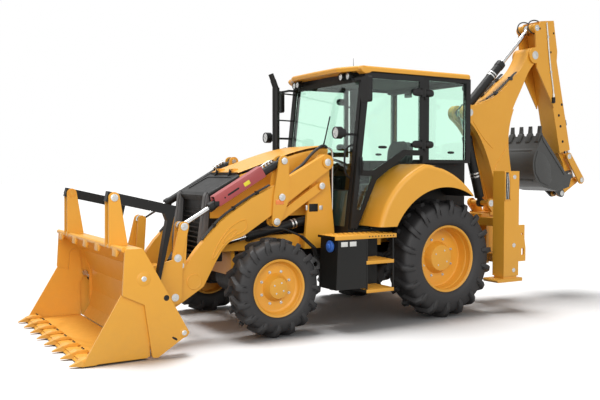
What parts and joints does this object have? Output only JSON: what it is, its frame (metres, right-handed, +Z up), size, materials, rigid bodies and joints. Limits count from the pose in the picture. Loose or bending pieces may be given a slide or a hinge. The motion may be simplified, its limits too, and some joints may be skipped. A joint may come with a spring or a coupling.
{
  "type": "backhoe loader",
  "caption": "Backhoe loader with a four-in-one loader bucket, flip-over forks, enclosed cab, stabiliser legs and a side-shift backhoe with an extending stick.",
  "frame": {"origin": "on the ground under the middle of the bounding box", "axes": "+X forward towards the loader bucket, +Y to the machine's left, +Z up"},
  "size_m": [7.384, 2.4, 3.7304],
  "materials": {
    "yellow": "gloss",
    "black_paint": "satin",
    "tyre": "matte",
    "steel": "satin",
    "chrome": "polished",
    "glass": "gloss",
    "dark_steel": "satin",
    "plastic": "matte"
  },
  "bodies": {
    "chassis": {"main_frame": "black_paint", "axles": "black_paint", "power_unit": "black_paint", "nose": "black_paint", "cab_frame": "black_paint", "cab_glass": "glass", "cab_interior": "plastic", "roof_and_fenders": "yellow", "side_tanks": "black_paint", "lamps_and_mirrors": "plastic", "rear_frame": "yellow"},
    "hood": {"hood": "yellow"},
    "door_left": {"door_left": "black_paint", "door_left_glass": "glass"},
    "door_right": {"door_right": "black_paint", "door_right_glass": "glass"},
    "knuckle_left": {"knuckle_left": "black_paint"},
    "knuckle_right": {"knuckle_right": "black_paint"},
    "front_wheel_left": {"front_rim_left": "yellow", "front_tyre_left": "tyre"},
    "front_wheel_right": {"front_rim_right": "yellow", "front_tyre_right": "tyre"},
    "rear_wheel_left": {"rear_rim_left": "yellow", "rear_tyre_left": "tyre"},
    "rear_wheel_right": {"rear_rim_right": "yellow", "rear_tyre_right": "tyre"},
    "loader_arms": {"loader_arms": "yellow"},
    "bellcranks": {"bellcranks": "yellow"},
    "level_links": {"level_links": "yellow"},
    "lift_barrels": {"lift_barrels": "black_paint"},
    "lift_rods": {"lift_rods": "chrome"},
    "hinge_pins": {"hinge_pins": "steel"},
    "loader_bucket": {"loader_bucket": "yellow"},
    "bucket_jaw": {"bucket_jaw": "yellow"},
    "jaw_barrels": {"jaw_barrels": "black_paint"},
    "jaw_rods": {"jaw_rods": "chrome"},
    "forks": {"forks": "black_paint"},
    "tilt_pins": {"tilt_pins": "steel"},
    "tilt_barrels": {"tilt_barrels": "black_paint"},
    "tilt_rods": {"tilt_rods": "chrome"},
    "rocker_pins": {"rocker_pins": "steel"},
    "tilt_rockers": {"tilt_rockers": "yellow"},
    "link_pins": {"link_pins": "steel"},
    "tilt_links": {"tilt_links": "yellow"},
    "carriage": {"carriage": "yellow"},
    "kingpost": {"kingpost": "yellow"},
    "boom": {"boom": "yellow"},
    "stick_inner": {"stick_inner": "yellow"},
    "stick_outer": {"stick_outer": "yellow"},
    "backhoe_bucket": {"backhoe_bucket": "dark_steel"},
    "bucket_rocker": {"bucket_rocker": "dark_steel"},
    "bucket_link": {"bucket_link": "dark_steel"},
    "boom_barrel": {"boom_barrel": "black_paint"},
    "boom_rod": {"boom_rod": "chrome"},
    "stick_barrel": {"stick_barrel": "black_paint"},
    "stick_rod": {"stick_rod": "chrome"},
    "bucket_barrel": {"bucket_barrel": "black_paint"},
    "bucket_rod": {"bucket_rod": "chrome"},
    "leg_left": {"leg_left": "yellow"},
    "leg_right": {"leg_right": "yellow"}
  },
  "joints": [
    {"name": "hood_hinge", "type": "hinge", "parent": "chassis", "child": "hood", "pos_m": [1.697, 0, 1.707], "axis": [0, 1, 0], "range_deg": [0, 50]},
    {"name": "door_left_hinge", "type": "hinge", "parent": "chassis", "child": "door_left", "pos_m": [-0.502, 0.792, 1.9], "axis": [0, 0, 1], "range_deg": [0, 90]},
    {"name": "door_right_hinge", "type": "hinge", "parent": "chassis", "child": "door_right", "pos_m": [-0.502, -0.792, 1.9], "axis": [0, 0, -1], "range_deg": [0, 90]},
    {"name": "steer_left", "type": "hinge", "parent": "chassis", "child": "knuckle_left", "pos_m": [1.548, 0.722, 0.505], "axis": [0, 0, 1], "range_deg": [-30, 30]},
    {"name": "front_wheel_left_spin", "type": "hinge", "parent": "knuckle_left", "child": "front_wheel_left", "pos_m": [1.548, 0.858, 0.505], "axis": [0, 1, 0], "continuous": true},
    {"name": "rear_wheel_left_spin", "type": "hinge", "parent": "chassis", "child": "rear_wheel_left", "pos_m": [-0.652, 0.862, 0.68], "axis": [0, 1, 0], "continuous": true},
    {"name": "steer_right", "type": "hinge", "parent": "chassis", "child": "knuckle_right", "pos_m": [1.548, -0.722, 0.505], "axis": [0, 0, 1], "range_deg": [-30.2, 30.2]},
    {"name": "front_wheel_right_spin", "type": "hinge", "parent": "knuckle_right", "child": "front_wheel_right", "pos_m": [1.548, -0.858, 0.505], "axis": [0, 1, 0], "continuous": true},
    {"name": "rear_wheel_right_spin", "type": "hinge", "parent": "chassis", "child": "rear_wheel_right", "pos_m": [-0.652, -0.862, 0.68], "axis": [0, 1, 0], "continuous": true},
    {"name": "lift", "type": "hinge", "parent": "chassis", "child": "loader_arms", "pos_m": [0.755, 0, 1.788], "axis": [0, -1, 0], "range_deg": [-3, 82]},
    {"name": "bellcrank_turn", "type": "hinge", "parent": "loader_arms", "child": "bellcranks", "pos_m": [1.341, 0, 1.416], "axis": [0, -1, 0], "range_deg": [-83.69, 3.11]},
    {"name": "level_link_turn", "type": "hinge", "parent": "chassis", "child": "level_links", "pos_m": [0.818, 0, 1.53], "axis": [0, -1, 0], "range_deg": [-3.11, 83.69]},
    {"name": "tilt_pin_turn", "type": "hinge", "parent": "bellcranks", "child": "tilt_pins", "pos_m": [1.311, 0, 1.801], "axis": [0, -1, 0], "range_deg": [-3.11, 83.69]},
    {"name": "hinge_pin_turn", "type": "hinge", "parent": "loader_arms", "child": "hinge_pins", "pos_m": [2.559, 0, 0.458], "axis": [0, -1, 0], "range_deg": [-83.69, 3.11]},
    {"name": "tilt", "type": "hinge", "parent": "hinge_pins", "child": "loader_bucket", "pos_m": [2.559, 0, 0.458], "axis": [0, 1, 0], "range_deg": [-40, 48]},
    {"name": "rocker_pin_turn", "type": "hinge", "parent": "loader_arms", "child": "rocker_pins", "pos_m": [2.482, 0, 0.763], "axis": [0, -1, 0], "range_deg": [-83.69, 3.11]},
    {"name": "rocker_turn", "type": "hinge", "parent": "rocker_pins", "child": "tilt_rockers", "pos_m": [2.482, 0, 0.763], "axis": [0, 1, 0], "range_deg": [-40.85, 49.01]},
    {"name": "link_pin_turn", "type": "hinge", "parent": "tilt_rockers", "child": "link_pins", "pos_m": [2.452, 0, 1.148], "axis": [0, 1, 0], "range_deg": [-49.01, 40.85]},
    {"name": "tilt_link_turn", "type": "hinge", "parent": "link_pins", "child": "tilt_links", "pos_m": [2.452, 0, 1.148], "axis": [0, -1, 0], "range_deg": [-3.11, 83.69]},
    {"name": "lift_barrel_turn", "type": "hinge", "parent": "chassis", "child": "lift_barrels", "pos_m": [0.765, 0, 1.177], "axis": [0, -1, 0], "range_deg": [-2.7, 72.49]},
    {"name": "lift_rod_slide", "type": "slide", "parent": "lift_barrels", "child": "lift_rods", "axis": [0.9793, 0, -0.2025], "range_m": [-0.02915, 0.74408]},
    {"name": "tilt_barrel_turn", "type": "hinge", "parent": "tilt_pins", "child": "tilt_barrels", "pos_m": [1.311, 0, 1.801], "axis": [0, 1, 0], "range_deg": [-5.92, 4.95]},
    {"name": "tilt_rod_slide", "type": "slide", "parent": "tilt_barrels", "child": "tilt_rods", "axis": [0.8679, 0, -0.4967], "range_m": [-0.2042, 0.24464]},
    {"name": "jaw", "type": "hinge", "parent": "loader_bucket", "child": "bucket_jaw", "pos_m": [3.047, 0, 0.738], "axis": [0, 1, 0], "range_deg": [-60, 0]},
    {"name": "jaw_barrel_turn", "type": "hinge", "parent": "loader_bucket", "child": "jaw_barrels", "pos_m": [2.668, 0, 0.214], "axis": [0, 1, 0], "range_deg": [-0.05, 15.47]},
    {"name": "jaw_rod_slide", "type": "slide", "parent": "jaw_barrels", "child": "jaw_rods", "axis": [0.6751, 0, 0.7378], "range_m": [-0.002, 0.20127]},
    {"name": "forks", "type": "hinge", "parent": "loader_bucket", "child": "forks", "pos_m": [3.191, 0, 1.452], "axis": [0, 1, 0], "range_deg": [0, 268]},
    {"name": "side_shift", "type": "slide", "parent": "chassis", "child": "carriage", "axis": [0, 1, 0], "range_m": [-0.87, 0.27]},
    {"name": "swing", "type": "hinge", "parent": "carriage", "child": "kingpost", "pos_m": [-1.982, 0.3, 1], "axis": [0, 0, 1], "range_deg": [-90, 90]},
    {"name": "boom", "type": "hinge", "parent": "kingpost", "child": "boom", "pos_m": [-2.192, 0.3, 1.18], "axis": [0, -1, 0], "range_deg": [0, 97]},
    {"name": "stick", "type": "hinge", "parent": "boom", "child": "stick_inner", "pos_m": [-2.681, 0.3, 3.238], "axis": [0, 1, 0], "range_deg": [0, 115]},
    {"name": "stick_extend", "type": "slide", "parent": "stick_inner", "child": "stick_outer", "axis": [-0.2342, 0, -0.9722], "range_m": [0, 1.07]},
    {"name": "dig_bucket", "type": "hinge", "parent": "stick_outer", "child": "backhoe_bucket", "pos_m": [-3.46, 0.3, 1.634], "axis": [0, 1, 0], "range_deg": [0, 165]},
    {"name": "boom_barrel_turn", "type": "hinge", "parent": "kingpost", "child": "boom_barrel", "pos_m": [-1.865, 0.3, 1.273], "axis": [0, -1, 0], "range_deg": [-0.05, 94.13]},
    {"name": "boom_rod_slide", "type": "slide", "parent": "boom_barrel", "child": "boom_rod", "axis": [0.2838, 0, 0.9589], "range_m": [-0.002, 0.49706]},
    {"name": "stick_barrel_turn", "type": "hinge", "parent": "boom", "child": "stick_barrel", "pos_m": [-1.522, 0.3, 2.432], "axis": [0, -1, 0], "range_deg": [-0.05, 5.1]},
    {"name": "stick_rod_slide", "type": "slide", "parent": "stick_barrel", "child": "stick_rod", "axis": [-0.7116, 0, 0.7026], "range_m": [-0.61043, 0.002]},
    {"name": "rocker_swing", "type": "hinge", "parent": "stick_outer", "child": "bucket_rocker", "pos_m": [-3.381, 0.3, 1.891], "axis": [0, 1, 0], "range_deg": [-0.05, 106.03]},
    {"name": "link_swing", "type": "hinge", "parent": "backhoe_bucket", "child": "bucket_link", "pos_m": [-3.306, 0.3, 1.377], "axis": [0, 1, 0], "range_deg": [-100.73, 0.05]},
    {"name": "bucket_barrel_turn", "type": "hinge", "parent": "stick_outer", "child": "bucket_barrel", "pos_m": [-3.145, 0.3, 3.377], "axis": [0, 1, 0], "range_deg": [-0.05, 8.24]},
    {"name": "bucket_rod_slide", "type": "slide", "parent": "bucket_barrel", "child": "bucket_rod", "axis": [-0.2614, 0, -0.9652], "range_m": [-0.62479, 0.002]},
    {"name": "leg_left_slide", "type": "slide", "parent": "chassis", "child": "leg_left", "axis": [0, 0, -1], "range_m": [0, 0.55]},
    {"name": "leg_right_slide", "type": "slide", "parent": "chassis", "child": "leg_right", "axis": [0, 0, -1], "range_m": [0, 0.55]}
  ],
  "couplings": [
    {"joint": "steer_right", "follows": "steer_left", "ratio": 1},
    {"joint": "bellcrank_turn", "follows": "lift", "ratio": -1},
    {"joint": "level_link_turn", "follows": "lift", "ratio": 1},
    {"joint": "tilt_pin_turn", "follows": "lift", "ratio": 1},
    {"joint": "hinge_pin_turn", "follows": "lift", "ratio": -1},
    {"joint": "rocker_pin_turn", "follows": "lift", "ratio": -1},
    {"joint": "rocker_turn", "follows": "tilt", "ratio": 1},
    {"joint": "link_pin_turn", "follows": "tilt", "ratio": -1},
    {"joint": "tilt_link_turn", "follows": "lift", "ratio": 1},
    {"joint": "lift_barrel_turn", "follows": "lift", "ratio": 0.86612},
    {"joint": "lift_rod_slide", "follows": "lift", "m_per_rad": 0.51851},
    {"joint": "tilt_barrel_turn", "follows": "tilt", "ratio": -0.12},
    {"joint": "tilt_rod_slide", "follows": "tilt", "m_per_rad": 0.28963},
    {"joint": "jaw_barrel_turn", "follows": "jaw", "ratio": -0.25189},
    {"joint": "jaw_rod_slide", "follows": "jaw", "m_per_rad": -0.19029},
    {"joint": "boom_barrel_turn", "follows": "boom", "ratio": 0.95087},
    {"joint": "boom_rod_slide", "follows": "boom", "m_per_rad": 0.29242},
    {"joint": "stick_barrel_turn", "follows": "stick", "ratio": 0.04303},
    {"joint": "stick_rod_slide", "follows": "stick", "m_per_rad": -0.30314},
    {"joint": "rocker_swing", "follows": "dig_bucket", "ratio": 0.62971},
    {"joint": "link_swing", "follows": "dig_bucket", "ratio": -0.59823},
    {"joint": "bucket_barrel_turn", "follows": "dig_bucket", "ratio": 0.048652},
    {"joint": "bucket_rod_slide", "follows": "dig_bucket", "m_per_rad": -0.21626}
  ]
}
